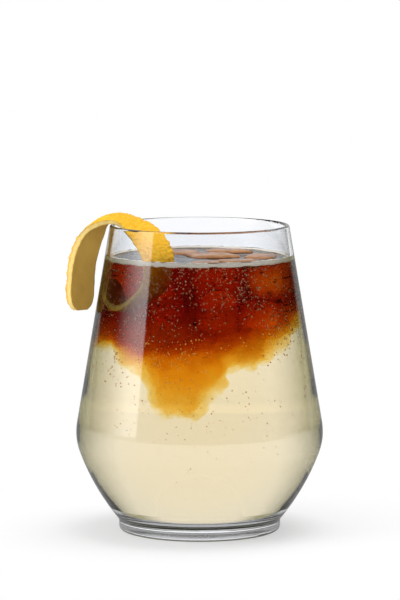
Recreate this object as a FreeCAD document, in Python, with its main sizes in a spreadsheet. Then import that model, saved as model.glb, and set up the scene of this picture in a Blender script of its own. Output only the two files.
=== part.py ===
"""Iced coffee poured over sparkling tonic in a stemless glass, with a lemon peel twist.

The origin is on the glass's axis, at the face that its foot stands on, with +Z up.
The front of the drink faces -Y, and the peel hangs over the rim on the -X side.
"""
import FreeCAD, Part
import math
import os

import Sketcher

Vector = FreeCAD.Vector
doc = FreeCAD.newDocument("IcedCoffee")

# Driving sizes in millimetres: alias, value, what it is.
sizes = [
    ("glassHeight", 118.0, "from the foot's face to the top of the lip"),
    ("rimRadius", 34.5, "outside of the lip"),
    ("bellyRadius", 47.6, "outside of the widest ring"),
    ("bellyHeight", 38.0, "height of the widest ring"),
    ("bellyRound", 22.0, "radius of the bend at the widest ring"),
    ("lowerRound", 90.0, "radius of the bowl below the belly"),
    ("footRadius", 31.1, "outside of the foot"),
    ("footHeight", 3.2, "height of the foot's upright side"),
    ("footEdge", 1.6, "rounding at the foot's lower edge"),
    ("neckRound", 2.5, "hollow between the foot and the bowl"),
    ("wallThickness", 1.7, "glass wall, and the lip's width"),
    ("baseThickness", 6.2, "from the foot's face to the floor inside"),
    ("floorRound", 6.0, "rounding between the floor and the bowl inside"),
    ("headSpace", 12.3, "from the top of the lip down to the drink"),
    ("frothWidth", 1.6, "foam line, inwards from the glass"),
    ("frothHeight", 1.0, "foam line, above the drink"),
    ("frothTop", 0.8, "flat top of the foam line"),
    ("coffeeDepth", 26.5, "coffee below the drink's level, away from its lobes"),
    ("coffeeTilt", 5.0, "how much deeper it is on the -X side than at the axis"),
    ("coffeeRipple", 1.1, "height of the ripples under the coffee"),
    ("rippleLength", 11.0, "from one ripple to the next"),
    ("peelWidth", 13.0, "zest side, from edge to edge"),
    ("peelThickness", 2.3, "zest and pith together"),
    ("peelBevel", 1.1, "how far each cut edge slants in towards the pith"),
    ("peelCup", 0.8, "how far the middle bows out to the zest side"),
    ("peelTip", 7.0, "length of each rounded end"),
    ("peelRest", 0.2, "from the lip to the peel that it carries"),
]

# Blunt lobes of coffee that hang below its general underside: place as a share of the drink's
# radius at its level (x, y), then spread and further depth in millimetres.
coffeeLobes = [
    (0.00, -0.17, 25.0, 11.0),
    (-0.12, -0.26, 13.0, 19.0),
    (0.62, -0.42, 9.5, 9.0),
    (-0.58, -0.44, 8.0, 5.0),
    (0.18, 0.55, 10.0, 8.0),
    (-0.62, 0.50, 9.0, 7.0),
    (0.68, 0.36, 8.0, 5.0),
]
cloudPoints = 41        # points each way on the surface under the coffee

# The peel's run, from the end outside to the end in the coffee. Each station holds the wall
# that it is measured from, the angle round the glass, how far the front edge stands off that
# wall, its drop below the lip, and the line across the peel: its heading in degrees and its
# rise as a share of its run.
peelStations = [
    ("outside", 180.0, 11.0, 33.4, 37.0, 0.0),
    ("outside", 180.0, 12.5, 24.0, 37.0, 0.0),
    ("outside", 180.2, 13.1, 15.0, 38.0, 0.0),
    ("outside", 181.5, 11.7, 6.3, 42.0, 0.0),
    ("outside", 184.4, 7.8, 0.7, 57.0, 1.6 / 13),
    ("lip", 190.2, 0.5, 0.0, 72.0, 1.5 / 13),
    ("inside", 201.4, 2.8, 1.8, 57.0, 3 / 13),
    ("inside", 214.8, 4.2, 6.6, 41.0, 5 / 13),
    ("inside", 230.6, 1.8, 13.2, 30.0, 4 / 13),
    ("inside", 232.6, 1.2, 20.4, 34.0, 0.0),
    ("inside", 225.0, 1.1, 27.0, 38.0, 0.0),
    ("inside", 212.5, 1.1, 30.4, 39.0, 0.0),
    ("inside", 198.5, 1.0, 28.0, 24.0, 0.0),
    ("inside", 187.0, 1.1, 22.0, 10.0, 0.0),
]
peelStep = 2.5          # millimetres from one section of the peel to the next
tipSections = 5         # sections in each rounded end
tipStart = 25.0         # degrees round the end's curve where the blunt tip starts

sheet = doc.addObject("Spreadsheet::Sheet", "Sizes")
size = {}
for row, (alias, value, meaning) in enumerate(sizes, start=1):
    sheet.set(f"A{row}", alias)
    sheet.set(f"B{row}", str(value))
    sheet.set(f"C{row}", meaning)
    sheet.setAlias(f"B{row}", alias)
    size[alias] = value
doc.recompute()


def meetCircles(centreA, radiusA, centreB, radiusB):
    """The inner of the two points at radiusA from centreA and radiusB from centreB."""
    across = centreB - centreA
    along = (radiusA ** 2 - radiusB ** 2 + across.Length ** 2) / (2 * across.Length)
    aside = math.sqrt(radiusA ** 2 - along ** 2)
    foot = centreA + across * (along / across.Length)
    normal = Vector(-across.y, across.x, 0) / across.Length
    return min(foot + normal * aside, foot - normal * aside, key=lambda point: point.x)


def towards(start, through, reach):
    """The point at that reach from start, on the line through the other point."""
    return start + (through - start).normalize() * reach


class WallProfile:
    """Centres and tangent points of the glass's section, with x outwards and y up.

    The inset is 0 for the outside of the wall and the wall's thickness for the inside.
    """

    def __init__(self, s):
        self.wall = s["wallThickness"]
        self.bellyRound = s["bellyRound"]
        self.lowerRound = s["lowerRound"]
        self.belly = Vector(s["bellyRadius"] - s["bellyRound"], s["bellyHeight"], 0)
        self.neck = Vector(s["footRadius"] + s["neckRound"], s["footHeight"], 0)
        self.bowl = meetCircles(self.belly, s["lowerRound"] - s["bellyRound"],
                                self.neck, s["lowerRound"] + s["neckRound"])
        self.lip = Vector(s["rimRadius"] - self.wall / 2, s["glassHeight"] - self.wall / 2, 0)
        rise = self.lip - self.belly
        facing = math.atan2(rise.y, rise.x) - math.acos((self.bellyRound - self.wall / 2) / rise.Length)
        self.facing = Vector(math.cos(facing), math.sin(facing), 0)
        corner = s["baseThickness"] + s["floorRound"]
        inner = self.lowerRound - self.wall - s["floorRound"]
        reach = math.sqrt(inner ** 2 - (self.bowl.y - corner) ** 2)
        self.floor = Vector(self.bowl.x + reach, corner, 0)

    def lipSide(self, sign):
        return self.lip + self.facing * (sign * self.wall / 2)

    def bellyTop(self, inset):
        return self.belly + self.facing * (self.bellyRound - inset)

    def bellyFoot(self, inset):
        return towards(self.bowl, self.belly, self.lowerRound - inset)

    def radiusAt(self, height, inset):
        top = self.bellyTop(inset)
        if height >= top.y:
            return top.x - (height - top.y) * self.facing.y / self.facing.x
        if height >= self.bellyFoot(inset).y:
            across = (self.bellyRound - inset) ** 2 - (height - self.belly.y) ** 2
            return self.belly.x + math.sqrt(across)
        across = (self.lowerRound - inset) ** 2 - (height - self.bowl.y) ** 2
        return self.bowl.x + math.sqrt(across)


profile = WallProfile(size)
level = size["glassHeight"] - size["headSpace"]


def newSketch(body, name):
    sketch = body.newObject("Sketcher::SketchObject", name)
    plane = next(item for item in body.Origin.OriginFeatures if item.Role == "XZ_Plane")
    sketch.AttachmentSupport = (plane, [""])
    sketch.MapMode = "FlatFace"
    return sketch


def addLine(sketch, start, end):
    return sketch.addGeometry(Part.LineSegment(start, end), False)


def addArc(sketch, centre, start, end):
    """An arc about centre that runs anticlockwise from start to end."""
    first = math.atan2(start.y - centre.y, start.x - centre.x)
    last = math.atan2(end.y - centre.y, end.x - centre.x)
    if last < first:
        last += 2 * math.pi
    circle = Part.Circle(centre, Vector(0, 0, 1), (start - centre).Length)
    return sketch.addGeometry(Part.ArcOfCircle(circle, first, last), False)


def addGuide(sketch, centre, radius):
    """A construction circle."""
    return sketch.addGeometry(Part.Circle(centre, Vector(0, 0, 1), radius), True)


def bind(sketch, kind, places, **terms):
    """Add a dimension that is the sum of sheet cells, each times its factor."""
    value = sum(factor * size[alias] for alias, factor in terms.items())
    index = sketch.addConstraint(Sketcher.Constraint(kind, *places, value))
    formula = " + ".join(f"{factor} * Sizes.{alias}" for alias, factor in terms.items())
    sketch.setExpression(f"Constraints[{index}]", formula)


def relate(sketch, kind, *places):
    sketch.addConstraint(Sketcher.Constraint(kind, *places))


origin = (-1, 1)
axisY = -2


def bindCentre(sketch, item, across, up):
    """Fix an arc's centre from the origin: across and up are sums of sheet cells."""
    bind(sketch, "DistanceX", (*origin, item, 3), **across)
    bind(sketch, "DistanceY", (*origin, item, 3), **up)


def addInside(sketch):
    """The inside of the wall below its straight part, and the floor."""
    belly = addArc(sketch, profile.belly, profile.bellyFoot(profile.wall), profile.bellyTop(profile.wall))
    corner = towards(profile.bowl, profile.floor, profile.lowerRound - profile.wall)
    bowl = addArc(sketch, profile.bowl, corner, profile.bellyFoot(profile.wall))
    floorStart = Vector(profile.floor.x, size["baseThickness"], 0)
    turn = addArc(sketch, profile.floor, floorStart, corner)
    floor = addLine(sketch, floorStart, Vector(0, size["baseThickness"], 0))
    relate(sketch, "Tangent", belly, 1, bowl, 2)
    relate(sketch, "Tangent", bowl, 1, turn, 2)
    relate(sketch, "Tangent", turn, 1, floor, 1)
    relate(sketch, "Horizontal", floor)
    relate(sketch, "PointOnObject", floor, 2, axisY)
    bind(sketch, "Radius", (turn,), floorRound=1)
    bind(sketch, "DistanceY", (*origin, floor, 2), baseThickness=1)
    return belly, bowl, floor


def revolve(body, sketch, name):
    feature = body.newObject("PartDesign::Revolution", name)
    feature.Profile = sketch
    feature.ReferenceAxis = (sketch, ["V_Axis"])
    feature.Angle = 360
    body.Tip = feature
    return feature


def checkSketch(sketch):
    doc.recompute()
    if sketch.solve() != 0 or not sketch.FullyConstrained:
        raise RuntimeError(f"{sketch.Name} isn't solved or isn't fully constrained")


def makeGlass():
    """Stemless tumbler: a flat foot, a bowl out to the belly and a straight wall in to the lip."""
    body = doc.addObject("PartDesign::Body", "glass")
    sketch = newSketch(body, "glassSection")
    centre = Vector(0, 0, 0)
    footX, edge, neckY = size["footRadius"], size["footEdge"], size["footHeight"]
    neckOut = towards(profile.neck, profile.bowl, size["neckRound"])
    under = addLine(sketch, centre, Vector(footX - edge, 0, 0))
    rounding = addArc(sketch, Vector(footX - edge, edge, 0), Vector(footX - edge, 0, 0), Vector(footX, edge, 0))
    side = addLine(sketch, Vector(footX, edge, 0), Vector(footX, neckY, 0))
    neck = addArc(sketch, profile.neck, neckOut, Vector(footX, neckY, 0))
    bowl = addArc(sketch, profile.bowl, neckOut, profile.bellyFoot(0))
    belly = addArc(sketch, profile.belly, profile.bellyFoot(0), profile.bellyTop(0))
    wallOut = addLine(sketch, profile.bellyTop(0), profile.lipSide(1))
    lip = addArc(sketch, profile.lip, profile.lipSide(1), profile.lipSide(-1))
    wallIn = addLine(sketch, profile.lipSide(-1), profile.bellyTop(profile.wall))
    bellyIn, bowlIn, floor = addInside(sketch)
    axis = addLine(sketch, Vector(0, size["baseThickness"], 0), centre)

    relate(sketch, "Coincident", under, 1, *origin)
    relate(sketch, "Horizontal", under)
    relate(sketch, "Tangent", under, 2, rounding, 1)
    relate(sketch, "Tangent", rounding, 2, side, 1)
    relate(sketch, "Vertical", side)
    relate(sketch, "Tangent", side, 2, neck, 2)
    relate(sketch, "Tangent", neck, 1, bowl, 1)
    relate(sketch, "Tangent", bowl, 2, belly, 1)
    relate(sketch, "Tangent", belly, 2, wallOut, 1)
    relate(sketch, "Tangent", wallOut, 2, lip, 1)
    relate(sketch, "Tangent", lip, 2, wallIn, 1)
    relate(sketch, "Tangent", wallIn, 2, bellyIn, 2)
    relate(sketch, "Coincident", bellyIn, 3, belly, 3)
    relate(sketch, "Coincident", bowlIn, 3, bowl, 3)
    relate(sketch, "Coincident", floor, 2, axis, 1)
    relate(sketch, "Coincident", axis, 2, under, 1)

    bind(sketch, "DistanceX", (*origin, side, 1), footRadius=1)
    bind(sketch, "DistanceY", (*origin, side, 2), footHeight=1)
    bind(sketch, "Radius", (rounding,), footEdge=1)
    bind(sketch, "Radius", (neck,), neckRound=1)
    bind(sketch, "Radius", (bowl,), lowerRound=1)
    bind(sketch, "Radius", (belly,), bellyRound=1)
    bind(sketch, "Radius", (bellyIn,), bellyRound=1, wallThickness=-1)
    bindCentre(sketch, belly, {"bellyRadius": 1, "bellyRound": -1}, {"bellyHeight": 1})
    bind(sketch, "Radius", (lip,), wallThickness=0.5)
    bindCentre(sketch, lip, {"rimRadius": 1, "wallThickness": -0.5},
               {"glassHeight": 1, "wallThickness": -0.5})
    checkSketch(sketch)
    revolve(body, sketch, "glassTurned")
    return body


def makeDrink():
    """All that is poured: the inside of the glass up to the drink's level."""
    body = doc.addObject("PartDesign::Body", "drink")
    sketch = newSketch(body, "drinkSection")
    topCentre = Vector(0, level, 0)
    topEdge = Vector(profile.radiusAt(level, profile.wall), level, 0)
    belly, bowl, floor = addInside(sketch)
    axis = addLine(sketch, Vector(0, size["baseThickness"], 0), topCentre)
    top = addLine(sketch, topCentre, topEdge)
    wall = addLine(sketch, topEdge, profile.bellyTop(profile.wall))
    lip = addGuide(sketch, profile.lip, size["wallThickness"] / 2)
    neck = addGuide(sketch, profile.neck, size["neckRound"])
    outer = addGuide(sketch, profile.bowl, size["lowerRound"])

    relate(sketch, "Coincident", floor, 2, axis, 1)
    relate(sketch, "Coincident", axis, 2, top, 1)
    relate(sketch, "PointOnObject", top, 1, axisY)
    relate(sketch, "Horizontal", top)
    relate(sketch, "Coincident", top, 2, wall, 1)
    relate(sketch, "Tangent", wall, 2, belly, 2)
    relate(sketch, "Tangent", wall, lip)
    relate(sketch, "Tangent", neck, outer)
    relate(sketch, "Coincident", bowl, 3, outer, 3)

    bind(sketch, "DistanceY", (*origin, top, 1), glassHeight=1, headSpace=-1)
    bind(sketch, "Radius", (belly,), bellyRound=1, wallThickness=-1)
    bind(sketch, "Radius", (bowl,), lowerRound=1, wallThickness=-1)
    bindCentre(sketch, belly, {"bellyRadius": 1, "bellyRound": -1}, {"bellyHeight": 1})
    bind(sketch, "Radius", (lip,), wallThickness=0.5)
    bindCentre(sketch, lip, {"rimRadius": 1, "wallThickness": -0.5},
               {"glassHeight": 1, "wallThickness": -0.5})
    bind(sketch, "Radius", (neck,), neckRound=1)
    bindCentre(sketch, neck, {"footRadius": 1, "neckRound": 1}, {"footHeight": 1})
    bind(sketch, "Radius", (outer,), lowerRound=1)
    checkSketch(sketch)
    revolve(body, sketch, "drinkTurned")
    return body


def makeFrothRing():
    """A line of foam that stands on the drink, all the way round against the glass."""
    body = doc.addObject("PartDesign::Body", "frothRing")
    sketch = newSketch(body, "frothSection")
    crest = level + size["frothHeight"]
    wallLow = Vector(profile.radiusAt(level, profile.wall), level, 0)
    wallHigh = Vector(profile.radiusAt(crest, profile.wall), crest, 0)
    inLow = wallLow - Vector(size["frothWidth"], 0, 0)
    inHigh = wallHigh - Vector(size["frothTop"], 0, 0)
    bottom = addLine(sketch, inLow, wallLow)
    against = addLine(sketch, wallLow, wallHigh)
    top = addLine(sketch, wallHigh, inHigh)
    face = addLine(sketch, inHigh, inLow)
    lip = addGuide(sketch, profile.lip, size["wallThickness"] / 2)
    belly = addGuide(sketch, profile.belly, size["bellyRound"] - size["wallThickness"])

    relate(sketch, "Coincident", bottom, 2, against, 1)
    relate(sketch, "Coincident", against, 2, top, 1)
    relate(sketch, "Coincident", top, 2, face, 1)
    relate(sketch, "Coincident", face, 2, bottom, 1)
    relate(sketch, "Horizontal", bottom)
    relate(sketch, "Horizontal", top)
    relate(sketch, "Tangent", against, lip)
    relate(sketch, "Tangent", against, belly)

    bind(sketch, "DistanceY", (*origin, bottom, 1), glassHeight=1, headSpace=-1)
    bind(sketch, "DistanceY", (against, 1, against, 2), frothHeight=1)
    bind(sketch, "DistanceX", (bottom, 1, bottom, 2), frothWidth=1)
    bind(sketch, "DistanceX", (top, 2, top, 1), frothTop=1)
    bind(sketch, "Radius", (lip,), wallThickness=0.5)
    bindCentre(sketch, lip, {"rimRadius": 1, "wallThickness": -0.5},
               {"glassHeight": 1, "wallThickness": -0.5})
    bind(sketch, "Radius", (belly,), bellyRound=1, wallThickness=-1)
    bindCentre(sketch, belly, {"bellyRadius": 1, "bellyRound": -1}, {"bellyHeight": 1})
    checkSketch(sketch)
    revolve(body, sketch, "frothTurned")
    return body


def coffeeUnderside(x, y):
    """Height where the coffee stops: a tilted, rippled level with lobes that hang below it."""
    reach = profile.radiusAt(level, profile.wall)
    depth = size["coffeeDepth"] - size["coffeeTilt"] * x / reach
    for shareX, shareY, spread, drop in coffeeLobes:
        away = math.hypot(x - shareX * reach, y - shareY * reach)
        depth += drop * math.exp(-(away / spread) ** 4)
    turn = 2 * math.pi / size["rippleLength"]
    depth += size["coffeeRipple"] * math.sin(turn * x + 0.9) * math.cos(turn * 0.8 * y - 0.4)
    return level - depth


def makeCloud():
    """A solid that fills everything below the coffee's underside."""
    half = size["bellyRadius"] + 2
    ticks = [-half + 2 * half * index / (cloudPoints - 1) for index in range(cloudPoints)]
    grid = [[Vector(x, y, coffeeUnderside(x, y)) for y in ticks] for x in ticks]
    surface = Part.BSplineSurface()
    surface.interpolate(grid)
    below = surface.toShape().extrude(Vector(0, 0, -2 * size["glassHeight"]))
    cloud = doc.addObject("Part::Feature", "belowCoffee")
    cloud.Shape = below if below.ShapeType == "Solid" else Part.Solid(below)
    return cloud


def peelEdges():
    """The peel's two long edges, as curves with the same parameter at each station."""
    front, back = [], []
    for wall, angle, standOff, drop, heading, rise in peelStations:
        height = size["glassHeight"] - drop
        if wall == "outside":
            radius = profile.radiusAt(height, 0) + standOff
        elif wall == "inside":
            radius = profile.radiusAt(height, profile.wall) - standOff
        else:
            radius = size["rimRadius"] + standOff
            height += size["peelRest"] + (size["peelThickness"] + size["peelCup"]) / 2
        turn = math.radians(angle)
        edge = Vector(radius * math.cos(turn), radius * math.sin(turn), height)
        turn = math.radians(heading)
        across = Vector(math.cos(turn), math.sin(turn), rise)
        front.append(edge)
        back.append(edge + across.normalize() * size["peelWidth"])
    middle = [(a + b) / 2 for a, b in zip(front, back)]
    stops = [0.0]
    for a, b in zip(middle, middle[1:]):
        stops.append(stops[-1] + (b - a).Length)
    curves = []
    for points in (front, back):
        curve = Part.BSplineCurve()
        curve.interpolate(Points=points, Parameters=stops)
        curves.append(curve)
    return curves, stops[-1]


def peelSection(curves, at, share):
    """The closed outline across the peel: pith arc, cut edge, zest arc, cut edge."""
    front, back = (curve.value(at) for curve in curves)
    along = (curves[0].tangent(at)[0] + curves[1].tangent(at)[0]).normalize()
    middle = (front + back) / 2
    across = (back - front).normalize()
    zest = along.cross(across).normalize()
    reach = size["peelWidth"] / 2 * share
    pithReach = reach - size["peelBevel"] * share
    lift = zest * (size["peelThickness"] / 2)
    bow = zest * (size["peelCup"] * share ** 2)
    ends = middle - bow / 2
    pithA, pithB = ends - across * pithReach - lift, ends + across * pithReach - lift
    zestA, zestB = ends - across * reach + lift, ends + across * reach + lift
    edges = [
        Part.Arc(pithA, middle + bow / 2 - lift, pithB).toShape(),
        Part.LineSegment(pithB, zestB).toShape(),
        Part.Arc(zestB, middle + bow / 2 + lift, zestA).toShape(),
        Part.LineSegment(zestA, pithA).toShape(),
    ]
    return Part.Wire(edges)


def makePeel():
    """A curl of lemon peel: down outside, over the lip and round in a loop in the coffee."""
    curves, length = peelEdges()
    tip = size["peelTip"]
    stops = []
    for index in range(tipSections):
        turn = math.radians(tipStart + (90 - tipStart) * index / tipSections)
        stops.append((tip * (1 - math.cos(turn)), math.sin(turn)))
    first = stops[0][0]
    stops = [(at - first, share) for at, share in stops]
    tip -= first
    count = math.ceil((length - 2 * tip) / peelStep)
    middle = [(tip + (length - 2 * tip) * index / count, 1.0) for index in range(count + 1)]
    ending = [(length - at, share) for at, share in reversed(stops)]
    wires = [peelSection(curves, at, share) for at, share in stops + middle + ending]
    peel = doc.addObject("Part::Feature", "peel")
    peel.Shape = Part.makeLoft(wires, True, False)
    return peel


def combine(kind, name, base, tool):
    result = doc.addObject(kind, name)
    result.Base = base
    result.Tool = tool
    return result


glass = makeGlass()
drink = makeDrink()
frothRing = makeFrothRing()
belowCoffee = makeCloud()
peel = makePeel()
tonic = combine("Part::Common", "tonic", drink, belowCoffee)
aboveTonic = combine("Part::Cut", "aboveTonic", drink, belowCoffee)
coffee = combine("Part::Cut", "coffee", aboveTonic, peel)
froth = combine("Part::Cut", "froth", frothRing, peel)
doc.recompute()

for item in doc.Objects:
    if "Invalid" in item.State or "Error" in item.State:
        raise RuntimeError(f"{item.Name} didn't build")

nodes = {"glass": glass, "tonic": tonic, "coffee": coffee, "froth": froth, "peel": peel}
for name, item in nodes.items():
    shape = item.Shape
    if shape.isNull() or not shape.isValid() or len(shape.Solids) != 1:
        raise RuntimeError(f"{name} isn't one valid solid")
    item.Label = name

os.makedirs("parts", exist_ok=True)
for name, item in nodes.items():
    item.Shape.exportStep(f"parts/{name}.step")
    print(name, round(item.Shape.Volume / 1000, 2), "ml")
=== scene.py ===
# Dresses the glass of iced coffee: clear tumbler, tonic under a cloud of coffee, ice, froth, bubbles, peel.
import math
import bpy
import numpy as np
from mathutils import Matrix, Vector


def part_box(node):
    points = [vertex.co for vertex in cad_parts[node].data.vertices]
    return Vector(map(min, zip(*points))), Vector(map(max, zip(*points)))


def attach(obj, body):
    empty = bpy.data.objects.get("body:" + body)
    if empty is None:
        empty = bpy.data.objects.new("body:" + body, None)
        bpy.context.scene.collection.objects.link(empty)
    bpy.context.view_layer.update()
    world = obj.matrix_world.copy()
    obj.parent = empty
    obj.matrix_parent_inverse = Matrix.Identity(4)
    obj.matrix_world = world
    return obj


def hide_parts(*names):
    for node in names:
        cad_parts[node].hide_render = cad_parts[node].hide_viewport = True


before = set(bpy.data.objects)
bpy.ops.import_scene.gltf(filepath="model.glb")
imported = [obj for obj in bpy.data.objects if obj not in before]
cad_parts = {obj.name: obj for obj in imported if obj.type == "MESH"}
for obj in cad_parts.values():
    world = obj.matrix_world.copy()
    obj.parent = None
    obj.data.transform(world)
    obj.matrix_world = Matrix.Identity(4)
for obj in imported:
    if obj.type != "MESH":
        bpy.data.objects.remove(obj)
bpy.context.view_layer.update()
print("frame loaded:", ", ".join(sorted(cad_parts)))

mm = 0.001
fullTurn = 2 * math.pi
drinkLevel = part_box("coffee")[1].z          # where the drink stands in the glass
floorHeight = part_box("tonic")[0].z          # the inside of the glass's base
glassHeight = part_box("glass")[1].z


# a colour given as 0-255 display values, turned into linear light by the usual display curve
def colour(red, green, blue):
    values = np.array([red, green, blue]) / 255
    linear = np.where(values <= 0.04045, values / 12.92, ((values + 0.055) / 1.055) ** 2.4)
    return (*[float(v) for v in linear], 1.0)


# smooth noise: random values on a cubic lattice that repeats, moved off the lattice's own zero
latticeSize = 32
latticeShift = 11.3
lattice = np.random.default_rng(7).uniform(-1, 1, (latticeSize, latticeSize, latticeSize))


# noise between -1 and 1 whose lumps are about one scale across: the sum of the eight corners' values, each
# times three smooth steps 3t^2 - 2t^3 of the place inside its cell
def noise(points, scale):
    place = np.asarray(points) / scale + latticeShift
    cell = np.floor(place).astype(int)
    part = place - cell
    part = part * part * (3 - 2 * part)
    total = np.zeros(place.shape[:-1])
    for corner in np.ndindex(2, 2, 2):
        at = (cell + corner) % latticeSize
        weight = np.prod(np.where(np.array(corner) == 1, part, 1 - part), axis=-1)
        total += weight * lattice[at[..., 0], at[..., 1], at[..., 2]]
    return total


# noise added up at ever finer scales: each one half as long as the last, and falloff times as strong
def lumps(points, scale, octaves=3, falloff=0.5):
    return sum(noise(points, scale / 2 ** k) * falloff ** k for k in range(octaves))


# points on circles about the axis: radius times cosine, radius times sine, and the height
def around(radius, turn, height):
    return np.stack(np.broadcast_arrays(radius * np.cos(turn), radius * np.sin(turn), height), -1)


# angles that go once round and stop short of the first
def fullCircle(count):
    return np.linspace(0, fullTurn, count, endpoint=False)


# rows of points on a ball of radius one, from below to above, without its two poles
def unitBall(rows, columns):
    rise = np.linspace(0, math.pi, rows + 2)[1:-1, None]
    return around(np.sin(rise), fullCircle(columns), -np.cos(rise))


# an object at the origin from an array of points and lists of faces, shaded smooth
def newPiece(name, points, faces, material):
    mesh = bpy.data.meshes.new(name)
    mesh.from_pydata(np.asarray(points, float).reshape(-1, 3).tolist(), [], faces)
    mesh.polygons.foreach_set("use_smooth", np.ones(len(mesh.polygons), bool))
    mesh.materials.append(material)
    mesh.validate()
    piece = bpy.data.objects.new(name, mesh)
    bpy.context.scene.collection.objects.link(piece)
    return piece


# a value for every point of a piece, for its material to read
def pointValues(piece, name, values):
    layer = piece.data.attributes.new(name, "FLOAT", "POINT")
    layer.data.foreach_set("value", values.astype(np.float32))


# faces of a grid whose columns run round: a quad between each two rows and columns, and a fan to a single
# point at each end that has one
def tubeFaces(rows, columns, capFirst=None, capLast=None, offset=0):
    row = np.arange(rows - 1)[:, None] * columns
    column = np.arange(columns)[None, :]
    after = (column + 1) % columns
    quads = np.stack([row + column, row + after, row + columns + after, row + columns + column], -1)
    faces = (quads.reshape(-1, 4) + offset).tolist()
    ring = np.arange(columns)
    following = (ring + 1) % columns
    if capFirst is not None:
        faces += np.stack([following + offset, ring + offset, np.full(columns, capFirst)], -1).tolist()
    if capLast is not None:
        last = (rows - 1) * columns + offset
        faces += np.stack([last + ring, last + following, np.full(columns, capLast)], -1).tolist()
    return faces


# points and faces of a closed surface: rows of points that run round, then a pole for each end
def closedGrid(grid, firstPole, lastPole):
    rows, columns = grid.shape[:2]
    points = np.concatenate([grid.reshape(-1, 3), [firstPole], [lastPole]])
    return points, tubeFaces(rows, columns, rows * columns, rows * columns + 1)


# the same faces seen from the other side
def turnedOver(faces):
    return [face[::-1] for face in faces]


# a new material whose Principled node has the values given, by the names of its inputs
def shader(name, values=None):
    material = bpy.data.materials.new(name)
    material.use_nodes = True
    principled = material.node_tree.nodes["Principled BSDF"]
    for key, value in (values or {}).items():
        principled.inputs[key].default_value = value
    return material, material.node_tree, principled


# a node with its settings, its inputs by name or by _number, joined where the value is another's output
def addNode(tree, kind, settings=None, **inputs):
    node = tree.nodes.new(kind)
    for key, value in (settings or {}).items():
        setattr(node, key, value)
    for key, value in inputs.items():
        socket = node.inputs[int(key[1:])] if key[0] == "_" else node.inputs[key.replace("_", " ")]
        if isinstance(value, bpy.types.NodeSocket):
            tree.links.new(value, socket)
        else:
            socket.default_value = value
    return node


# two values put together by one operation
def maths(tree, operation, first, second, clamp=False):
    settings = {"operation": operation, "use_clamp": clamp}
    return addNode(tree, "ShaderNodeMath", settings, _0=first, _1=second).outputs[0]


# first + share * (second - first), for values
def mixValue(tree, share, first, second):
    return addNode(tree, "ShaderNodeMix", {"data_type": "FLOAT"}, _0=share, _2=first, _3=second).outputs[0]


# first + share * (second - first), for colours
def mixColour(tree, share, first, second):
    return addNode(tree, "ShaderNodeMix", {"data_type": "RGBA"}, _0=share, _6=first, _7=second).outputs[2]


# from one value to another as the input goes from low to high, held beyond them
def ramp(tree, value, limits, start=0.0, end=1.0, kind="SMOOTHSTEP"):
    node = addNode(tree, "ShaderNodeMapRange", {"interpolation_type": kind}, Value=value)
    settings = {"From Min": limits[0], "From Max": limits[1], "To Min": start, "To Max": end}
    for key, setting in settings.items():
        node.inputs[key].default_value = setting
    return node.outputs[0]


# something seen through: it bends light, and absorbs so much of each colour per metre
def clearMatter(name, refraction, perMetre=None):
    material, tree, principled = shader(name, {"Base Color": (1, 1, 1, 1), "Transmission Weight": 1.0,
                                               "Roughness": 0.0, "IOR": refraction})
    if perMetre is not None:
        density = max(perMetre) * 1.02      # a little over the strongest, so that no colour is left black
        volume = addNode(tree, "ShaderNodeVolumeAbsorption", Density=density,
                         Color=(*[1 - value / density for value in perMetre], 1))
        tree.links.new(volume.outputs[0], tree.nodes["Material Output"].inputs["Volume"])
    return material


# the camera comes first: metres, degrees and millimetres of lens
view = {"distance": 1.31375, "height": 0.23601, "pitch": 6.391, "lens": 206.29, "shift": 0.0007}
cameraData = bpy.data.cameras.new("camera")
cameraData.lens = view["lens"]
cameraData.shift_x = view["shift"]
camera = bpy.data.objects.new("camera", cameraData)
camera.location = (0, -view["distance"], view["height"])
camera.rotation_euler = (math.radians(90 - view["pitch"]), 0, 0)
bpy.context.scene.collection.objects.link(camera)
bpy.context.scene.camera = camera
print("camera set")

glassValues = {
    "bellyRadius": 0.0476,
    "bellyHeight": 0.038,
    "bellyRound": 0.022,
    "lowerRound": 0.090,
    "footRadius": 0.0311,
    "footHeight": 0.0032,
    "neckRound": 0.0025,
    "rimRadius": 0.0345,
    "thickness": 0.0017,
    "floorRound": 0.006,
    "floorShare": 0.72,      # how far that round goes in, as a share of a full quarter circle
    "refraction": 1.5,
    "tint": colour(250, 252, 255),
    # painted shade: the edge colour darkens the glass to an olive grey where its surface turns side-on to the
    # view
    "edge": colour(186, 182, 158),
    "edgeBlend": 0.22,
    "edgePower": 2.0,
}


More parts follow.
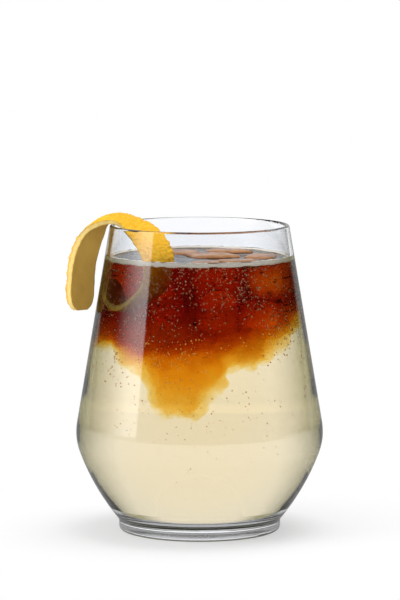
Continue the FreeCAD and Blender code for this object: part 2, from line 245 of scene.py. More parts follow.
# radius of the glass at each height: a straight side, the belly's arc, then the long arc to the foot
def wallRadius(height, inset=0.0):
    v = glassValues
    belly = np.array([v["bellyRadius"] - v["bellyRound"], v["bellyHeight"]])
    neck = np.array([v["footRadius"] + v["neckRound"], v["footHeight"]])
    # the long arc's centre is where two circles about the belly's and the neck's centres cross
    reachA = v["lowerRound"] - v["bellyRound"]
    reachB = v["lowerRound"] + v["neckRound"]
    step = neck - belly
    gap = np.hypot(*step)
    along = (reachA ** 2 - reachB ** 2 + gap ** 2) / (2 * gap)
    off = math.sqrt(reachA ** 2 - along ** 2)
    toNeck = step / gap
    crossings = [belly + toNeck * along + side * off * np.array([-toNeck[1], toNeck[0]]) for side in (-1, 1)]
    bowl = min(crossings, key=lambda point: point[0])
    # the straight side touches the belly's circle and the lip's
    lip = np.array([v["rimRadius"] - v["thickness"] / 2, glassHeight - v["thickness"] / 2])
    rise = lip - belly
    swing = math.acos((v["bellyRound"] - v["thickness"] / 2) / np.hypot(*rise))
    heading = math.atan2(rise[1], rise[0]) - swing
    facing = np.array([math.cos(heading), math.sin(heading)])
    top = belly + facing * (v["bellyRound"] - inset)
    foot = belly + (belly - bowl) / np.hypot(*(belly - bowl)) * (v["bellyRound"] - inset)
    height = np.asarray(height, float)
    straight = top[0] - (height - top[1]) * facing[1] / facing[0]
    arc = belly[0] + np.sqrt(np.maximum((v["bellyRound"] - inset) ** 2 - (height - belly[1]) ** 2, 0))
    long = bowl[0] + np.sqrt(np.maximum((v["lowerRound"] - inset) ** 2 - (height - bowl[1]) ** 2, 0))
    return np.where(height >= top[1], straight, np.where(height >= foot[1], arc, long))


# the inside of the wall: the wall's profile set in by its thickness, rounded into the floor
def innerRadius(height):
    v = glassValues
    radius = wallRadius(height, v["thickness"])
    drop = np.clip(1 - (np.asarray(height) - floorHeight) / v["floorRound"], 0, 1)
    return radius - v["floorRound"] * (1 - np.sqrt(1 - drop ** 2)) * v["floorShare"]


glassMaterial = clearMatter("clearGlass", glassValues["refraction"])
tree = glassMaterial.node_tree
# painted shade: the glass's colour turns from its tint to the edge colour where the surface faces away from
# the view
facing = addNode(tree, "ShaderNodeLayerWeight", Blend=glassValues["edgeBlend"]).outputs["Facing"]
paintedEdgeShade = mixColour(tree, maths(tree, "POWER", facing, glassValues["edgePower"]),
                     glassValues["tint"], glassValues["edge"])
tree.links.new(paintedEdgeShade, tree.nodes["Principled BSDF"].inputs["Base Color"])
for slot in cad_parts["glass"].material_slots:
    slot.material = glassMaterial
print("glass finished")

# the liquid is one clear body that reaches just into the wall, up to the level
drinkValues = {
    "intoWall": 0.00025,
    "meniscus": 0.0007,      # how far the drink climbs the wall
    "meniscusWidth": 0.0022,
    "ripple": 0.00015,
    "rippleLength": 0.006,
    "columns": 192,
    "baseRows": 14,
    "firstRow": 0.04,        # the rows nearest the poles, as a share of the radius and as an angle
    "lastRow": 0.02,
    "sideRows": 150,
    "topRows": 60,
    "refraction": 1.333,
    "perMetre": (0.05, 2.2, 7.6),
    # painted shade: the edge colour darkens the drink's sides where they turn away from the view
    "edge": colour(134, 134, 79),
    "edgeFacing": (0.11, 0.27),
}


# the drink's top: level with slight ripples, raised at the edge by the square of the way into the meniscus
def surfaceHeight(x, y):
    v = drinkValues
    height = drinkLevel + v["ripple"] * lumps(np.stack([x, y, 0 * x], -1), v["rippleLength"], 2)
    edge = np.clip(1 - (innerRadius(drinkLevel) - np.hypot(x, y)) / v["meniscusWidth"], 0, 1.1)
    return height + v["meniscus"] * edge ** 2


# a body turned about the axis: flat underneath, up the inside of the wall, then in across the top in rows
# whose radius falls as a sine
def makeLiquid(material):
    v = drinkValues
    turn = fullCircle(v["columns"])
    heights = np.linspace(floorHeight - v["intoWall"], drinkLevel + v["meniscus"], v["sideRows"])
    side = innerRadius(np.maximum(heights, floorHeight)) + v["intoWall"]
    inner = np.linspace(v["firstRow"], 1, v["baseRows"])[:-1] * side[0]
    radius = np.concatenate([inner, side])
    height = np.concatenate([np.full(len(inner), heights[0]), heights])
    lower = around(radius[:, None], turn, height[:, None])
    reach = np.sin(np.linspace(math.pi / 2, v["lastRow"], v["topRows"]))[1:, None] * side[-1]
    upper = around(reach, turn, 0.0)
    upper[..., 2] = surfaceHeight(upper[..., 0], upper[..., 1])
    centre = surfaceHeight(np.zeros(1), np.zeros(1))[0]
    points, faces = closedGrid(np.concatenate([lower, upper]), (0, 0, heights[0]), (0, 0, centre))
    return newPiece("liquid", points, faces, material)


liquidMaterial = clearMatter("paleTonic", drinkValues["refraction"], drinkValues["perMetre"])
tree = liquidMaterial.node_tree
# painted shade: darker where the wall turns away to the side, whatever its slope
normal = addNode(tree, "ShaderNodeNewGeometry").outputs["Normal"]
level = addNode(tree, "ShaderNodeVectorMath", {"operation": "MULTIPLY"}, _0=normal, _1=(1.0, 1.0, 0.0))
flat = addNode(tree, "ShaderNodeVectorMath", {"operation": "NORMALIZE"}, _0=level.outputs[0])
facing = addNode(tree, "ShaderNodeLayerWeight", Blend=0.5, Normal=flat.outputs[0]).outputs["Facing"]
share = ramp(tree, facing, drinkValues["edgeFacing"], kind="LINEAR")
paintedEdgeShade = mixColour(tree, share, (1, 1, 1, 1), drinkValues["edge"])
tree.links.new(paintedEdgeShade, tree.nodes["Principled BSDF"].inputs["Base Color"])
liquid = makeLiquid(liquidMaterial)
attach(liquid, "root")
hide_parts("tonic")
print("liquid made")

# the ice: blocks sunk in the coffee, and tops that float at the surface
iceValues = {
    "offWall": 0.002,
    "inHollow": 0.0002,      # how much smaller a block is than its hollow, all round
    "topsBelow": 0.8,        # millimetres from the level down to the middle of the tops
    "squareness": 5,
    "dent": 0.14,
    "dentLength": 0.009,
    "rows": 15,
    "columns": 24,
    # painted glow: the clear ice is tinted orange to red, standing in for light that reaches it through the
    # coffee
    "orange": colour(255, 218, 140),
    "red": colour(255, 186, 104),
    "surface": {"Roughness": 0.1, "Transmission Weight": 0.95, "IOR": 1.0},
    "wetDark": colour(96, 42, 14),
    "wetPale": colour(226, 166, 112),
    "wetMottle": 170.0,
    "blocks": [
        # centre x, y, top below the level, half sizes, turn about z, tilt (millimetres, degrees), redness of
        # the painted glow
        (22.0, -13.5, 2.6, (7.0, 9.5, 5.0), 14, 14, 0.0),
        (18.5, 10.0, 2.0, (6.2, 9.5, 8.0), 18, -8, 0.1),
        (6.3, -19.5, 10.0, (6.4, 10.5, 7.6), 5, -8, 1.0),
        (5.2, 6.5, 4.0, (7.0, 10.5, 8.6), -4, 6, 0.9),
        (1.0, 25.0, 3.0, (9.0, 5.8, 7.2), 8, -6, 0.8),
        (-10.5, -14.0, 11.0, (5.2, 7.5, 6.4), -12, 10, 1.0),
        (-14.0, 12.0, 3.0, (7.6, 10.5, 7.6), -12, 8, 0.8),
        (19.0, -11.0, 15.5, (7.0, 9.5, 5.6), 16, -10, 0.9),
    ],
    "tops": [
        # centre x, y, half sizes along x, y and z, turn: millimetres and degrees
        (15.0, -19.0, 8.0, 5.5, 1.6, 20),
        (23.5, -3.0, 6.0, 8.5, 1.8, -12),
        (1.5, -24.5, 6.0, 4.5, 1.4, -6),
        (5.0, 1.0, 10.0, 7.5, 1.9, 14),
        (-9.0, 15.0, 8.5, 7.5, 1.7, -28),
        (12.0, 20.0, 9.0, 7.0, 1.8, 8),
    ],
}


# a block of ice: a ball over the fifth root of its coordinates' summed fifth powers, which squares it up,
# then stretched, dented by noise, tilted, turned and set below the level
def iceBlock(block, shrink):
    v = iceValues
    centreX, centreY, below, half, turn, tilt, redness = block
    ball = np.concatenate([unitBall(v["rows"], v["columns"]).reshape(-1, 3), [(0, 0, -1), (0, 0, 1)]])
    size = (np.abs(ball) ** v["squareness"]).sum(-1) ** (1 / v["squareness"])
    points = ball / size[:, None] * (np.array(half) * mm - shrink)
    points = points * (1 + v["dent"] * lumps(points + centreX * mm, v["dentLength"], 3))[:, None]
    a, b = math.radians(turn), math.radians(tilt)
    tiltBy = np.array([[1, 0, 0], [0, math.cos(b), -math.sin(b)], [0, math.sin(b), math.cos(b)]])
    turnBy = np.array([[math.cos(a), -math.sin(a), 0], [math.sin(a), math.cos(a), 0], [0, 0, 1]])
    points = points @ (turnBy @ tiltBy).T
    top = points[:, 2].max()
    points = points + np.array([centreX * mm, centreY * mm, drinkLevel - below * mm - top])
    # flattened where it would reach the wall
    room = innerRadius(points[:, 2]) - v["offWall"] - shrink
    points[:, :2] *= np.minimum(1, room / np.hypot(points[:, 0], points[:, 1]))[:, None]
    return points


# the points of several blocks, and their faces counted on from an offset
def joinBlocks(blocks, shrink, offset=0):
    rows, columns = iceValues["rows"], iceValues["columns"]
    points, faces = [], []
    for block in blocks:
        first = offset + rows * columns
        faces += tubeFaces(rows, columns, first, first + 1, offset)
        points.append(iceBlock(block, shrink))
        offset = first + 2
    return points, faces


# the coffee: a cloud in nested shells whose absorption adds up inwards, with hollows where the ice lies
coffeeValues = {
    "depth": 0.0265,
    "tilt": 0.005,
    "ripple": 0.0011,
    "rippleLength": 0.011,
    "rippleAlong": 0.8,      # how fast it goes up and down along y, as a share of how fast along x
    "rippleShifts": (0.9, 0.4),
    "billow": 0.0026,
    "billowLength": 0.0095,
    "billowFalloff": 0.6,
    "billowDrop": 0.0006,
    "overhang": 0.0019,      # how far the billows lean over sideways
    "overhangLength": 0.009,
    "overhangFade": 8,       # they lean fully from an eighth of the radius inside the wall
    "offWall": 0.00008,
    "underSurface": 0.00015,
    "nesting": 0.02,         # how far a shell stands inside the last one, as a share of its lift
    "hollowNesting": 0.1,    # and how far its hollows stand outside the last one's
    "wallSteps": 12,
    "columns": 256,
    "sideRows": 40,
    "underRows": 110,
    "topRows": 10,
    "firstRow": 0.03,        # the rows nearest the poles, as shares of the radius
    "lastRow": 0.012,
    "lobes": [
        # share of the reach along x and y, spread and depth in millimetres, share that the dark shells take
        (0.00, -0.17, 25.0, 11.0, 0.95),
        (-0.12, -0.26, 13.0, 19.0, 0.12),
        (0.62, -0.42, 12.5, 9.5, 0.95),
        (-0.58, -0.44, 8.0, 5.0, 0.5),
        (0.18, 0.55, 10.0, 8.0, 0.5),
        (-0.62, 0.50, 9.0, 7.0, 0.5),
        (0.68, 0.36, 8.0, 5.0, 0.5),
    ],
    "shells": [
        # name, material, darkness, lift of the underside, strength of the billows, absorption per metre
        ("coffee_haze", "CoffeeHaze", -0.22, 0.0, 1.5, (10.0, 46.0, 180.0)),
        ("coffee_cloud", "CoffeeCloud", 0.75, 0.0012, 1.7, (9.0, 19.0, 38.0)),
        ("coffee_core", "CoffeeCore", 1.0, 0.0028, 1.4, (13.2, 21.5, 43.0)),
    ],
}


# height where the coffee stops: a level tilted to one side, less blunt lobes of drop * exp(-(away/spread)^4)
# and a ripple of a sine across times a cosine along
def coffeeUnderside(x, y, darkness):
    v = coffeeValues
    reach = innerRadius(drinkLevel)
    depth = v["depth"] - v["tilt"] * x / reach
    for shareX, shareY, spread, drop, darkShare in v["lobes"]:
        away = np.hypot(x - shareX * reach, y - shareY * reach)
        drop = drop * (1 + darkness * (darkShare - 1))
        depth = depth + drop * mm * np.exp(-(away / (spread * mm)) ** 4)
    turn = fullTurn / v["rippleLength"]
    shiftX, shiftY = v["rippleShifts"]
    depth = depth + v["ripple"] * np.sin(turn * x + shiftX) * np.cos(turn * v["rippleAlong"] * y - shiftY)
    return drinkLevel - depth


# a closed cloud: across under the surface, down the wall, and in along the underside, which is lumpy by
# noise in height and pushed sideways by noise away from the wall
def makeShell(name, darkness, lift, billow, material):
    v = coffeeValues
    turn = fullCircle(v["columns"])
    nested = lift * v["nesting"]
    top = drinkLevel - v["underSurface"] - nested

    def under(x, y):
        base = coffeeUnderside(x, y, darkness) + lift
        lumpy = lumps(np.stack([x, y, base], -1), v["billowLength"], 4, v["billowFalloff"])
        return base + billow * (v["billow"] * lumpy - v["billowDrop"])

    def wall(height):
        return innerRadius(height) - v["offWall"] - nested

    # where the underside meets the wall, found by stepping between the two
    edge = np.full(len(turn), drinkLevel - v["depth"])
    for step in range(v["wallSteps"]):
        edge = under(wall(edge) * np.cos(turn), wall(edge) * np.sin(turn))
    down = np.linspace(0, 1, v["sideRows"])[:, None]
    sideHeight = top + (edge[None, :] - top) * down
    sideRadius = wall(sideHeight)
    side = around(sideRadius, turn, sideHeight)
    lid = around(np.linspace(v["firstRow"], 1, v["topRows"])[:-1, None] * sideRadius[0], turn, top)
    base = around(np.linspace(1, v["lastRow"], v["underRows"])[1:, None] * wall(edge), turn, 0.0)
    x, y = base[..., 0], base[..., 1]
    base[..., 2] = under(x, y)
    fade = np.clip((1 - np.hypot(x, y) / wall(edge)) * v["overhangFade"], 0, 1)[..., None]
    push = np.stack([lumps(base + shift, v["overhangLength"], 3) for shift in (0.05, 0.11)] + [0 * x], -1)
    base = base + billow * v["overhang"] * fade * push
    low = under(np.zeros(1), np.zeros(1))[0]
    points, faces = closedGrid(np.concatenate([lid, side, base])[::-1], (0, 0, low), (0, 0, top))
    hollows, walls = joinBlocks(iceValues["blocks"], -lift * v["hollowNesting"], len(points))
    return newPiece(name, np.concatenate([points, *hollows]), faces + turnedOver(walls), material)


for name, materialName, darkness, lift, billow, perMetre in coffeeValues["shells"]:
    shell = makeShell(name, darkness, lift, billow, clearMatter(materialName, 1.0, perMetre))
    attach(shell, "root")
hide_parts("coffee")


# every block, a little smaller than its hollow, in one mesh that carries each block's redness, which sets how
# red its painted glow is
def makeIce(material):
    blocks = iceValues["blocks"]
    points, faces = joinBlocks(blocks, iceValues["inHollow"])
    piece = newPiece("ice", np.concatenate(points), faces, material)
    pointValues(piece, "redness", np.repeat([block[-1] for block in blocks], len(points[0])))
    return piece


# painted glow: the ice's orange and red tint stands in for light through the coffee, redder in some blocks
# than others
iceMaterial, tree, principled = shader("icePaintedGlow", iceValues["surface"])
redness = addNode(tree, "ShaderNodeAttribute", {"attribute_name": "redness"}).outputs["Fac"]
paintedGlowColour = mixColour(tree, redness, iceValues["orange"], iceValues["red"])
tree.links.new(paintedGlowColour, principled.inputs["Base Color"])
ice = makeIce(iceMaterial)
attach(ice, "root")


# the tops of the ice that float at the surface: flat blocks whose tops stand above the level, in one mesh
def makeIceTops(material):
    blocks = [(x, y, iceValues["topsBelow"] - halfZ, (halfX, halfY, halfZ), turn, 0, 0)
              for x, y, halfX, halfY, halfZ, turn in iceValues["tops"]]
    points, faces = joinBlocks(blocks, 0.0)
    return newPiece("ice_at_surface", np.concatenate(points), faces, material)


topMaterial, tree, principled = shader("wetIce", {"Roughness": 0.25})
place = addNode(tree, "ShaderNodeTexCoord").outputs["Object"]
mottle = addNode(tree, "ShaderNodeTexNoise", Vector=place, Scale=iceValues["wetMottle"], Detail=2.0)
tree.links.new(mixColour(tree, mottle.outputs["Fac"], iceValues["wetDark"], iceValues["wetPale"]),
               principled.inputs["Base Color"])
iceTop = makeIceTops(topMaterial)
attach(iceTop, "root")
print("ice made")

# the froth that rings the top
frothValues = {
    "width": 0.0014,
    "height": 0.0019,
    "lift": -0.0001,
    "intoWall": 0.0001,
    "swell": 0.35,
    "swellLength": 0.003,
    "swellRadius": 0.034,
    "rows": 14,
    "columns": 420,
    # painted glow: the froth's emission makes it brighter than the light it gets
    "surface": {"Base Color": colour(255, 248, 236), "Roughness": 0.6,
                "Emission Color": colour(255, 246, 232), "Emission Strength": 0.2},
}


# a thin ring against the wall at the drink's level: an oval carried round, swollen by noise and cut off at
# the wall
def makeFroth(material):
    v = frothValues
    turn, about = fullCircle(v["columns"])[:, None], fullCircle(v["rows"])
    swell = 1 + v["swell"] * lumps(around(v["swellRadius"], turn, 0.0), v["swellLength"], 3)
    height = drinkLevel + v["lift"] + v["height"] / 2 * swell * np.sin(about)
    middle = innerRadius(drinkLevel) - v["width"] / 2 + v["intoWall"]
    radius = middle + v["width"] / 2 * swell * np.cos(about)
    radius = np.minimum(radius, innerRadius(height) + v["intoWall"])
    faces = tubeFaces(v["columns"], v["rows"])
    last = (v["columns"] - 1) * v["rows"]
    ring = np.arange(v["rows"])
    after = (ring + 1) % v["rows"]
    faces += np.stack([last + ring, last + after, after, ring], -1).tolist()
    return newPiece("foam_ring", around(radius, turn, height), turnedOver(faces), material)


foam = makeFroth(shader("paleFoam", frothValues["surface"])[0])
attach(foam, "root")
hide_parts("froth")
print("froth made")

# the bubbles on the wall and in the drink
bubbleValues = {
    "count": 3300,
    "smallest": 0.00016,
    "largest": 0.00038,
    "fewLarge": 1.7,         # the power that makes large bubbles rare
    "offWall": 0.0003,
    "drift": 0.0015,         # how far some of them hang from the wall
    "drifting": 0.4,
    "crowding": 0.5,         # the chance of a bubble where the noise is nought
    "clumps": ((0.7, 0.017), (0.5, 0.006)),      # strength and length of the crowding's noise
    "lowFrom": 0.036,        # they thin out over the next 20 mm down to this height
    "lowOver": 0.02,
    "lowShare": 0.6,
    "frontBelow": 0.075,     # under this height most of them are in front
    "frontShare": (0.4, 1.3, 1.6),       # how crowded the sides are, what the front gains, and the most
    "smallBelow": 0.07,      # and under this one they are smaller
    "smallShare": 0.6,
    "underTop": 0.001,       # the highest of them hang so far below the level
    "depth": (1.5, 0.016),   # shape and scale of the draw in depth
    "offFloor": 0.002,
    "fine": 1100,
    "fineUnderTop": 0.0004,
    "fineDepth": (1.2, 0.0011),
    "fineSizes": (0.00008, 0.00016),
    "fineOffWall": 0.0002,
    "rows": 5,
    "columns": 7,
    "seed": 3,
    # painted reflection: air bubbles are clear, so the pale peach of those in the coffee and the brown of
    # those in the tonic stand in for light they reflect, and the tonic ones' emission is a painted glow
    "inCoffee": {"Base Color": colour(255, 206, 170), "Roughness": 0.3},
    "inTonic": {"Base Color": colour(255, 186, 92), "Roughness": 0.2,
                "Emission Color": colour(190, 132, 60), "Emission Strength": 0.4},
}


# small balls, one at each centre, in one mesh: the centre plus the radius times the ball's points
def makeBubbles(name, centres, radii, material):
    v = bubbleValues
    points, faces = closedGrid(unitBall(v["rows"], v["columns"]), (0, 0, -1), (0, 0, 1))
    cloud = centres[:, None, :] + radii[:, None, None] * points[None]
    start = np.arange(len(centres))[:, None, None] * len(points)
    allFaces = []
    for size in (3, 4):
        some = np.array([face for face in faces if len(face) == size])
        allFaces += (some[None] + start).reshape(-1, size).tolist()
    return newPiece(name, cloud, allFaces, material)


# places on the inside of the wall and just within, thickest under the surface, and their radii: a gamma
# draw in depth, kept by a chance that noise, depth and the side of the glass make
def bubblePlaces():
    v = bubbleValues
    draw = np.random.default_rng(v["seed"])
    count = v["count"] * 4
    turn = draw.uniform(0, fullTurn, count)
    height = drinkLevel - v["underTop"] - draw.gamma(*v["depth"], count)
    drift = np.abs(draw.normal(0, v["drift"], count)) * (draw.random(count) < v["drifting"])
    places = around(innerRadius(height) - v["offWall"] - drift, turn, height)
    (coarse, coarseLength), (close, closeLength) = v["clumps"]
    crowd = v["crowding"] + coarse * noise(places, coarseLength) + close * noise(places, closeLength)
    lower = np.clip((height - v["lowFrom"]) / v["lowOver"], v["lowShare"], 1)
    atSides, gain, most = v["frontShare"]
    inFront = np.clip(atSides - gain * np.sin(turn), 0, most)
    crowd = crowd * lower * np.where(height < v["frontBelow"], inFront, 1)
    keep = (draw.random(count) < crowd) & (height > floorHeight + v["offFloor"])
    places = places[keep][:v["count"]]
    radii = draw.uniform(0, 1, len(places)) ** v["fewLarge"] * (v["largest"] - v["smallest"]) + v["smallest"]
    radii = radii * np.clip(places[:, 2] / v["smallBelow"], v["smallShare"], 1)
    # fine bubbles crowd against the wall, just under the froth
    turn = draw.uniform(0, fullTurn, v["fine"])
    height = drinkLevel - v["fineUnderTop"] - draw.gamma(*v["fineDepth"], v["fine"])
    fine = around(innerRadius(height) - v["fineOffWall"], turn, height)
    fineRadii = draw.uniform(*v["fineSizes"], v["fine"])
    return np.concatenate([places, fine]), np.concatenate([radii, fineRadii])


places, radii = bubblePlaces()
inCoffee = places[:, 2] > coffeeUnderside(places[:, 0], places[:, 1], 0.5)
coffeeBubble = shader("coffeeBubbles", bubbleValues["inCoffee"])[0]
tonicBubble = shader("tonicBubbles", bubbleValues["inTonic"])[0]
for name, chosen, material, slotName in (("bubbles_in_coffee", inCoffee, coffeeBubble, "coffee"),
                                         ("bubbles_in_tonic", ~inCoffee, tonicBubble, "tonic")):
    bubbles = makeBubbles(name, places[chosen], radii[chosen], material)
    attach(bubbles, "root")
print("bubbles made:", len(places), "of them in the coffee:", int(inCoffee.sum()))

# the peel: metres, and its stations along the curl
peelValues = {
    "width": 0.013,
    "thickness": 0.0023,
    "bevel": 0.0011,
    "cup": 0.0008,
    "tip": 0.007,
    "tipStart": 25,          # degrees round the tip's arc at which it is cut off
    "rest": 0.0002,          # how far the peel lies above the lip
    "crowding": 0.3,         # how much the rows crowd towards the tips
    "pits": 0.0006,
    "pitLevel": 0.45,        # the pits go up and down from this
    "pitLength": 0.0011,
    "finePits": 0.6,
    "finePitLength": 0.0007,
    "unevenSkin": (0.00016, 0.004),      # how strong and how long, here and in the next three
    "unevenPith": (0.00013, 0.0035),
    "wander": (0.00036, 0.0032),
    "ragged": (0.0002, 0.0013),
    "wanderFalloff": 0.65,
    "wanderFrom": 0.75,      # the edges wander in the last quarter of the way out from the middle
    "bleed": (0.12, 0.75),   # the skin's colour on the cut edge: the least, and what it gains near the skin
    "rows": 420,
    "pithPoints": 34,
    "edgePoints": 8,
    "zestPoints": 40,
    "zest": colour(255, 212, 64),
    "zestDark": colour(240, 160, 0),
    # the pith face is partly the pith's own colour and partly painted shade: darker and more golden than the
    # cream of the cut edge
    "pith": colour(240, 194, 96),
    "cutEdge": colour(252, 230, 152),
    "mottle": 800.0,
    "surface": {"Roughness": 0.5, "Specular IOR Level": 0.25},
    "stations": [
        # side of the wall, angle, the front edge's stand-off, drop below the lip, heading across, rise
        ("outside", 180.0, 11.0, 33.4, 37.0, 0.0),
        ("outside", 180.0, 12.5, 24.0, 37.0, 0.0),
        ("outside", 180.2, 13.1, 15.0, 38.0, 0.0),
        ("outside", 181.5, 11.7, 6.3, 42.0, 0.0),
        ("outside", 184.4, 7.8, 0.7, 57.0, 1.6 / 13),
        ("lip", 190.2, 0.5, 0.0, 72.0, 1.5 / 13),
        ("inside", 201.4, 2.8, 1.8, 57.0, 3 / 13),
        ("inside", 214.8, 4.2, 6.6, 41.0, 5 / 13),
        ("inside", 230.6, 1.8, 13.2, 30.0, 4 / 13),
        ("inside", 232.6, 1.0, 20.4, 34.0, 0.0),
        ("inside", 225.0, 0.7, 27.0, 38.0, 0.0),
        ("inside", 212.5, 0.5, 30.4, 39.0, 0.0),
        ("inside", 198.5, 0.5, 28.0, 24.0, 0.0),
        ("inside", 187.0, 0.5, 22.0, 10.0, 0.0),
    ],
}


# a natural cubic spline read at the places asked for: second derivatives from a three-banded set of
# equations, then two cubes and two straight terms on each stretch
def splineThrough(stops, values, at):
    gap = np.diff(stops)
    count = len(stops)
    matrix, right = np.eye(count), np.zeros(values.shape)
    for k in range(1, count - 1):
        matrix[k, k - 1:k + 2] = gap[k - 1], 2 * (gap[k - 1] + gap[k]), gap[k]
        right[k] = 6 * ((values[k + 1] - values[k]) / gap[k] - (values[k] - values[k - 1]) / gap[k - 1])
    bend = np.linalg.solve(matrix, right)
    k = np.clip(np.searchsorted(stops, at) - 1, 0, count - 2)
    h, a, b = gap[k][:, None], (stops[k + 1] - at)[:, None], (at - stops[k])[:, None]
    cubes = (bend[k] * a ** 3 + bend[k + 1] * b ** 3) / (6 * h)
    return cubes + (values[k] / h - bend[k] * h / 6) * a + (values[k + 1] / h - bend[k + 1] * h / 6) * b


# each vector over its own length
def unit(vectors):
    return vectors / np.linalg.norm(vectors, axis=-1, keepdims=True)


# the peel's two long edges: each front point from its angle, stand-off and drop, and the back point one
# width from it along its heading and rise
def peelEdges():
    v = peelValues
    front, back = [], []
    for wall, angle, standOff, drop, heading, rise in v["stations"]:
        height = glassHeight - drop * mm
        if wall == "outside":
            radius = float(wallRadius(height)) + standOff * mm
        elif wall == "inside":
            radius = float(wallRadius(height, glassValues["thickness"])) - standOff * mm
        else:
            radius = glassValues["rimRadius"] + standOff * mm
            height += v["rest"] + (v["thickness"] + v["cup"]) / 2
        a, h = math.radians(angle), math.radians(heading)
        edge = np.array([radius * math.cos(a), radius * math.sin(a), height])
        across = np.array([math.cos(h), math.sin(h), rise])
        front.append(edge)
        back.append(edge + across / np.linalg.norm(across) * v["width"])
    return np.array(front), np.array(back)


# the section's outline as a flat pith, a cut edge, a skin and a cut edge: place across, lift, and how much
# each point is skin and is cut edge
def peelSection():
    v = peelValues
    pith = np.linspace(-1, 1, v["pithPoints"], endpoint=False)
    skin = np.linspace(1, -1, v["zestPoints"], endpoint=False)
    cut = np.linspace(0, 1, v["edgePoints"], endpoint=False)
    reach, half = v["width"] / 2, v["thickness"] / 2
    pithReach = reach - v["bevel"]
    slant = (reach - pithReach) * cut
    offset = np.concatenate([pith * pithReach, pithReach + slant, skin * reach, -reach + slant])
    lift = np.concatenate([np.full(len(pith), -half), -half + v["thickness"] * cut,
                           np.full(len(skin), half), half - v["thickness"] * cut])
    # the cut edge is pale, and the skin's colour bleeds into it near the skin
    least, gain = v["bleed"]
    skinUp, skinDown = least + gain * cut ** 3, least + gain * (1 - cut) ** 3
    isSkin = np.concatenate([np.zeros(len(pith)), skinUp, np.ones(len(skin)), skinDown])
    edge = np.sin(np.clip(cut, 0.05, 1) * math.pi)
    isCut = np.concatenate([np.zeros(len(pith)), edge, np.zeros(len(skin)), edge])
    return offset, lift, isSkin, isCut


# a curl of peel: the section carried between two splines, cupped by one less twice the square of the place
# across, narrowed to round tips, and moved along its normals by noise
def makePeel(material):
    v = peelValues
    front, back = peelEdges()
    steps = np.diff((front + back) / 2, axis=0)
    stops = np.concatenate([[0], np.cumsum(np.linalg.norm(steps, axis=1))])
    length = stops[-1]
    # the tips are rounded: rows crowd towards each end, where the width falls away
    crowded = length * (1 - np.cos(np.linspace(0, math.pi, v["rows"]))) / 2
    at = np.linspace(0, length, v["rows"]) * (1 - v["crowding"]) + crowded * v["crowding"]
    start = v["tip"] * (1 - math.cos(math.radians(v["tipStart"])))
    roundness = np.clip(1 - (np.minimum(at, length - at) + start) / v["tip"], 0, 1)
    share = np.sqrt(1 - roundness ** 2)
    frontAt, backAt = splineThrough(stops, front, at), splineThrough(stops, back, at)
    step = length * 1e-4
    ahead, behind = np.clip(at + step, 0, length), np.clip(at - step, 0, length)
    alongFront = unit(splineThrough(stops, front, ahead) - splineThrough(stops, front, behind))
    alongBack = unit(splineThrough(stops, back, ahead) - splineThrough(stops, back, behind))
    across = unit(backAt - frontAt)
    zest = unit(np.cross(unit(alongFront + alongBack), across))
    centre = (frontAt + backAt) / 2
    offset, lift, isSkin, isCut = peelSection()
    reach, half = v["width"] / 2, v["thickness"] / 2
    bow = 1 - 2 * (offset / reach) ** 2
    grid = centre[:, None] + across[:, None] * (offset[None, :] * share[:, None])[..., None]
    out = lift[None, :] + v["cup"] / 2 * bow[None, :] * (share ** 2)[:, None]
    grid = grid + zest[:, None] * out[..., None]
    # the skin is pitted, the pith is soft and uneven, and the knife wandered a little; each noise is read
    # at its own shift, so that no two go up and down together
    pits = np.abs(noise(grid, v["pitLength"])) + v["finePits"] * np.abs(noise(grid + 0.3, v["finePitLength"]))
    skinMove = v["pits"] * (v["pitLevel"] - pits) + v["unevenSkin"][0] * lumps(grid, v["unevenSkin"][1], 2)
    pithMove = v["unevenPith"][0] * lumps(grid + 0.2, v["unevenPith"][1], 3)
    edgeSide = centre[:, None] + np.sign(offset)[None, :, None] * 0.01
    wander = v["wander"][0] * lumps(edgeSide, v["wander"][1], 3, v["wanderFalloff"])
    wander = wander + v["ragged"][0] * noise(grid + 0.5, v["ragged"][1])
    rim = np.clip((np.abs(offset) / reach - v["wanderFrom"]) / (1 - v["wanderFrom"]), 0, 1)
    outward = np.where(lift[None, :] >= half * 0.98, skinMove, -pithMove * np.where(lift < 0, 1, 0)[None, :])
    grid = grid + zest[:, None] * outward[..., None]
    grid = grid + across[:, None] * (np.sign(offset) * rim * wander)[..., None]
    points, faces = closedGrid(grid, grid[0].mean(0), grid[-1].mean(0))
    piece = newPiece("lemon_peel", points, turnedOver(faces), material)
    for name, values in (("skin", isSkin), ("cut", isCut)):
        pointValues(piece, name, np.concatenate([np.tile(values, len(at)), [0.3, 0.3]]))
    return piece


peelMaterial, tree, principled = shader("lemonPeel", peelValues["surface"])
place = addNode(tree, "ShaderNodeTexCoord").outputs["Object"]
mottle = addNode(tree, "ShaderNodeTexNoise", Vector=place, Scale=peelValues["mottle"], Detail=3.0)
skinShare = addNode(tree, "ShaderNodeAttribute", {"attribute_name": "skin"}).outputs["Fac"]
cutShare = addNode(tree, "ShaderNodeAttribute", {"attribute_name": "cut"}).outputs["Fac"]
zestColour = mixColour(tree, mottle.outputs["Fac"], peelValues["zestDark"], peelValues["zest"])
# painted shade: the pith face is darker than the cut edge, which is the same pith
pithWithPaintedShade = mixColour(tree, cutShare, peelValues["pith"], peelValues["cutEdge"])
tree.links.new(mixColour(tree, skinShare, pithWithPaintedShade, zestColour), principled.inputs["Base Color"])
peel = makePeel(peelMaterial)
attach(peel, "root")
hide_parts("peel")
print("peel made")

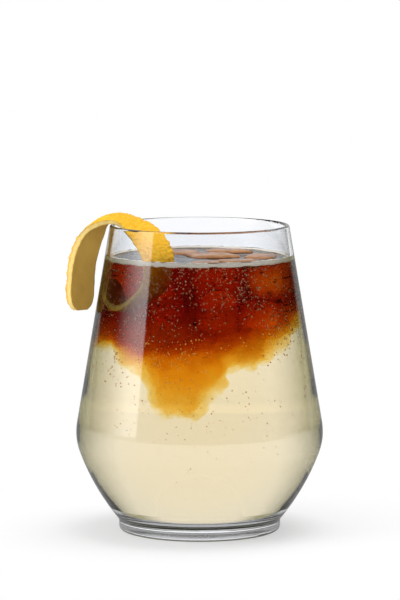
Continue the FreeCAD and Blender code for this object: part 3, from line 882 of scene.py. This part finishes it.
# floor, world and lamps: metres, degrees and watts
studioValues = {
    "throughGlass": 1.08,    # how much brighter the background is when seen through the glass
    "floorSide": 6.0,
    "floorColour": (0.93, 0.93, 0.93, 1),
    "floorMirrored": 0.35,   # how bright the floor is in direct reflections
    "shade": (0.034, 0.12),  # the floor shows its shadow from the first radius out to the second
    "shadeLeast": 0.5,
    "front": 0.008,          # brightness of the room in front, behind, and in reflections of reflections
    "back": 0.72,
    "backFrom": (0.72, 0.975),
    "soft": 0.62,
    "screen": 6.5,           # a screen at the left, by its edges round the glass and above its foot
    "hardEdge": (60, 63),
    "softEdge": (68, 106),
    "tall": (-3.0, 17.0),
    "aim": (0, 0, 0.06),
    "lamps": [
        # name, place, size across and up, power
        ("softboxLeft", (-0.75, -0.35, 0.45), 0.5, 0.9, 4.0),
        ("softboxTop", (0.2, 0.1, 1.0), 0.7, 0.7, 5.0),
    ],
    "bounces": 40,
}


# light paths: the node, whether a ray was mirrored straight off an outside (a glossy one that isn't a
# transmitted one), and the brightness that glass adds
def lightPaths(tree):
    rays = addNode(tree, "ShaderNodeLightPath")
    direct = maths(tree, "SUBTRACT", rays.outputs["Is Glossy Ray"], rays.outputs["Is Transmission Ray"], True)
    through = mixValue(tree, rays.outputs["Is Transmission Ray"], 1.0, studioValues["throughGlass"])
    return rays, direct, through


floorMaterial, tree, principled = shader("paleFloor")
tree.nodes.remove(principled)
rays, direct, through = lightPaths(tree)
diffuse = addNode(tree, "ShaderNodeBsdfDiffuse", Color=studioValues["floorColour"])
dimmed = mixValue(tree, direct, through, studioValues["floorMirrored"])
glow = addNode(tree, "ShaderNodeEmission", Color=(1, 1, 1, 1), Strength=dimmed)
spot = addNode(tree, "ShaderNodeTexCoord").outputs["Object"]
away = addNode(tree, "ShaderNodeVectorMath", {"operation": "LENGTH"}, _0=spot).outputs["Value"]
fade = ramp(tree, away, studioValues["shade"], studioValues["shadeLeast"])
both = addNode(tree, "ShaderNodeMixShader", _0=fade, _1=diffuse.outputs[0], _2=glow.outputs[0])
tree.links.new(both.outputs[0], tree.nodes["Material Output"].inputs["Surface"])
side = studioValues["floorSide"]
floor = newPiece("floor", [(-side, -side, 0), (side, -side, 0), (side, side, 0), (-side, side, 0)],
                 [(0, 1, 2, 3)], floorMaterial)

world = bpy.data.worlds.new("studio")
bpy.context.scene.world = world
world.use_nodes = True
tree = world.node_tree
rays, direct, through = lightPaths(tree)
heading = addNode(tree, "ShaderNodeTexCoord").outputs["Generated"]
headingX, headingY, headingZ = addNode(tree, "ShaderNodeSeparateXYZ", Vector=heading).outputs
behind = ramp(tree, headingY, studioValues["backFrom"], studioValues["front"], studioValues["back"])
# a tall white screen at the left, with one hard edge, that only direct reflections show
aboutGlass = maths(tree, "ARCTAN2", maths(tree, "MULTIPLY", headingX, -1.0),
                   maths(tree, "MULTIPLY", headingY, -1.0))
hardEdge, softEdge = np.radians(studioValues["hardEdge"]), np.radians(studioValues["softEdge"])
tall = np.sin(np.radians(studioValues["tall"]))
screen = maths(tree, "MULTIPLY", ramp(tree, aboutGlass, hardEdge), ramp(tree, aboutGlass, softEdge, 1.0, 0.0))
screen = maths(tree, "MULTIPLY", screen, ramp(tree, headingZ, tall))
screen = maths(tree, "MULTIPLY", screen, direct)
screen = maths(tree, "MULTIPLY", screen, studioValues["screen"])
# what is seen straight or through the glass is plain white; mirrors see the room
unmirrored = maths(tree, "LESS_THAN", rays.outputs["Glossy Depth"], 0.5)
seen = maths(tree, "MAXIMUM", rays.outputs["Is Camera Ray"], rays.outputs["Is Transmission Ray"])
mirrored = mixValue(tree, unmirrored, maths(tree, "ADD", behind, screen), studioValues["soft"])
strength = mixValue(tree, maths(tree, "MULTIPLY", seen, unmirrored), mirrored, through)
background = tree.nodes["Background"]
background.inputs["Color"].default_value = (1, 1, 1, 1)
tree.links.new(strength, background.inputs["Strength"])


# a rectangular lamp that looks at a point, and that glass neither mirrors nor shows
def addSoftbox(name, place, across, up, watts):
    lampData = bpy.data.lights.new(name, "AREA")
    lampData.shape = "RECTANGLE"
    lampData.size = across
    lampData.size_y = up
    lampData.energy = watts
    lamp = bpy.data.objects.new(name, lampData)
    lamp.location = place
    aim = Vector(studioValues["aim"]) - Vector(place)
    lamp.rotation_euler = aim.to_track_quat("-Z", "Y").to_euler()
    lamp.visible_glossy = False
    lamp.visible_transmission = False
    bpy.context.scene.collection.objects.link(lamp)


for values in studioValues["lamps"]:
    addSoftbox(*values)

scene = bpy.context.scene
scene.view_settings.view_transform = "Standard"
scene.cycles.max_bounces = studioValues["bounces"]
scene.cycles.transmission_bounces = studioValues["bounces"]
scene.cycles.transparent_max_bounces = studioValues["bounces"]
print("floor, world and lights set")
